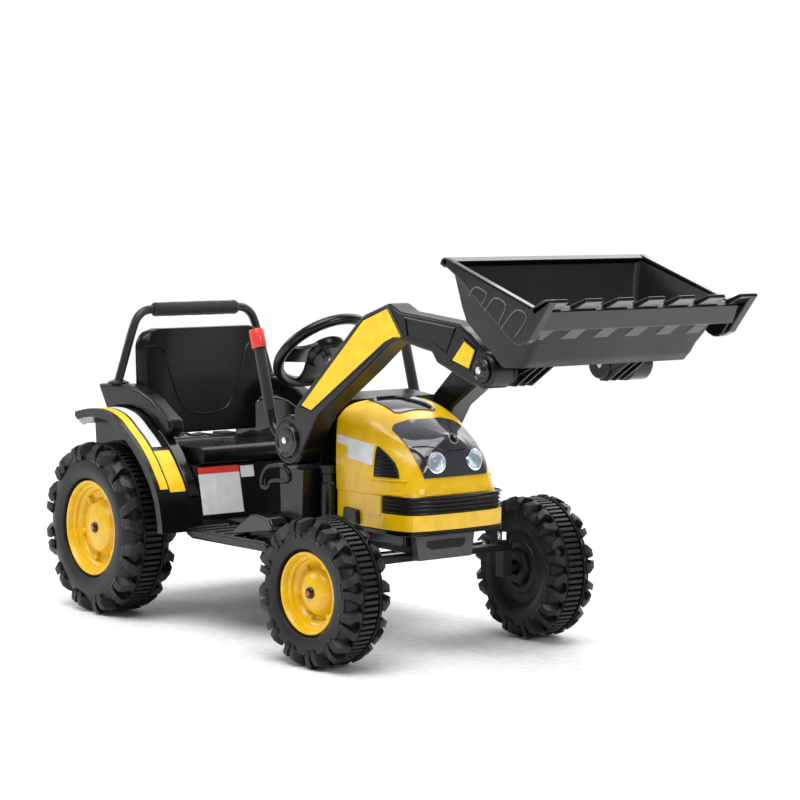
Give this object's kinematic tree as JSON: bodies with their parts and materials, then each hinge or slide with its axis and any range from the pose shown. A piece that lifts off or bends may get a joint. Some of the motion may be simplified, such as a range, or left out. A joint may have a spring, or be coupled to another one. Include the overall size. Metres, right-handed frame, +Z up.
{
  "type": "ride on digger",
  "caption": "Child's ride-on electric digger: seat with roll bar, four chunky wheels, steering wheel, yellow hood and a tilting front loader bucket on lifting arms",
  "frame": {"origin": "centre of the box's footprint on the floor, under the bucket-to-seat middle", "axes": "+X forward towards the bucket, +Y to the rider's left, +Z up"},
  "size_m": [1.276, 0.5166, 0.624],
  "materials": {
    "frame_black": "moulded black, slightly coarse",
    "body_black": "satin moulded black",
    "fender_black": "satin to gloss black",
    "grille_black": "matt black",
    "arm_black": "satin black",
    "bucket_black": "satin black",
    "grey_plastic": "dark grey",
    "cap_black": "gloss black",
    "yellow_plastic": "gloss warm yellow",
    "tyre": "moulded dark grey tread",
    "bar_paint": "black powder coat",
    "foam": "soft foam, matt",
    "steel": "bright steel",
    "kingpin_steel": "zinc-plated steel",
    "smoked_panel": "smoked clear plastic",
    "lamp": "clear lamp with a cool white light",
    "red_plastic": "red",
    "webbing": "woven black webbing"
  },
  "bodies": {
    "chassis": {"boom_tower_left": "body_black", "boom_tower_right": "body_black", "bumper": "yellow_plastic", "bumper_tray": "body_black", "chassis_tray": "frame_black", "dash_console": "body_black", "fender_left": "fender_black", "fender_right": "fender_black", "footboard_left": "body_black", "footboard_right": "body_black", "front_axle_beam": "frame_black", "grille_band": "grille_black", "headlight_left": "lamp", "headlight_panel": "smoked_panel", "headlight_right": "lamp", "hood": "yellow_plastic", "hood_window": "smoked_panel", "nose_plate": "grey_plastic", "rear_axle": "steel", "roll_bar": "bar_paint", "roll_bar_grip": "foam", "seat_back": "body_black", "seat_base": "body_black", "seat_belt": "webbing", "seat_pan": "body_black", "side_grille_left": "grille_black", "side_grille_right": "grille_black", "side_housing_left": "body_black", "side_housing_right": "body_black"},
    "boom": {"arm_right": "arm_black", "arm_left": "arm_black", "boom_pivot_shaft": "steel", "pivot_cap_right": "cap_black", "pivot_cap_left": "cap_black", "lever_grip_right": "foam", "lever_grip_left": "foam", "lever_knob_right": "red_plastic", "lever_knob_left": "red_plastic"},
    "bucket": {"bucket_shell": "bucket_black", "cutting_edge": "grey_plastic", "bucket_pin_right": "steel", "bucket_pin_left": "steel"},
    "steering": {"steering_wheel": "body_black", "steering_shaft": "steel"},
    "knuckle_r": {"knuckle_right": "kingpin_steel"},
    "knuckle_l": {"knuckle_left": "kingpin_steel"},
    "track_rod": {"tie_rod": "steel"},
    "pedal": {"foot_pedal": "body_black"},
    "wheel_rear_right": {"rear_tyre_right": "tyre", "rear_rim_right": "yellow_plastic", "rear_cap_right": "cap_black"},
    "wheel_rear_left": {"rear_tyre_left": "tyre", "rear_rim_left": "yellow_plastic", "rear_cap_left": "cap_black"},
    "wheel_front_right": {"front_tyre_right": "tyre", "front_rim_right": "yellow_plastic", "front_cap_right": "cap_black"},
    "wheel_front_left": {"front_tyre_left": "tyre", "front_rim_left": "yellow_plastic", "front_cap_left": "cap_black"}
  },
  "joints": [
    {"name": "boom_lift", "type": "hinge", "parent": "chassis", "child": "boom", "pos_m": [-0.036, 0, 0.328], "axis": [0, 1, 0], "range_deg": [-10, 44]},
    {"name": "bucket_tilt", "type": "hinge", "parent": "boom", "child": "bucket", "pos_m": [0.441, 0, 0.466], "axis": [0, 1, 0], "range_deg": [-8, 65]},
    {"name": "steering_turn", "type": "hinge", "parent": "chassis", "child": "steering", "pos_m": [-0.153, 0, 0.458], "axis": [-0.6691, 0, 0.7431], "range_deg": [-44, 44]},
    {"name": "kingpin_right", "type": "hinge", "parent": "chassis", "child": "knuckle_r", "pos_m": [0.13, -0.15, 0.14], "axis": [0, 0, 1], "range_deg": [-22.5, 22.5]},
    {"name": "kingpin_left", "type": "hinge", "parent": "chassis", "child": "knuckle_l", "pos_m": [0.13, 0.15, 0.14], "axis": [0, 0, 1], "range_deg": [-22.5, 22.5]},
    {"name": "tie_rod_slide", "type": "slide", "parent": "chassis", "child": "track_rod", "axis": [0, 1, 0], "range_m": [-0.017, 0.017]},
    {"name": "front_right_spin", "type": "hinge", "parent": "knuckle_r", "child": "wheel_front_right", "pos_m": [0.13429, -0.21135, 0.115], "axis": [-0.0698, 0.9976, 0], "continuous": true},
    {"name": "front_left_spin", "type": "hinge", "parent": "knuckle_l", "child": "wheel_front_left", "pos_m": [0.13429, 0.21135, 0.115], "axis": [0.0698, 0.9976, 0], "continuous": true},
    {"name": "rear_right_spin", "type": "hinge", "parent": "chassis", "child": "wheel_rear_right", "pos_m": [-0.488, -0.2115, 0.147], "axis": [0, 1, 0], "continuous": true},
    {"name": "rear_left_spin", "type": "hinge", "parent": "chassis", "child": "wheel_rear_left", "pos_m": [-0.488, 0.2115, 0.147], "axis": [0, 1, 0], "continuous": true},
    {"name": "pedal_press", "type": "hinge", "parent": "chassis", "child": "pedal", "pos_m": [-0.145, -0.169, 0.172], "axis": [0, 1, 0], "range_deg": [0, 8], "stiffness_Nm_per_rad": 1, "springref_deg": -5.73}
  ],
  "couplings": [
    {"joint": "kingpin_right", "follows": "steering_turn", "ratio": 0.5},
    {"joint": "kingpin_left", "follows": "steering_turn", "ratio": 0.5},
    {"joint": "tie_rod_slide", "follows": "steering_turn", "m_per_rad": -0.021}
  ]
}
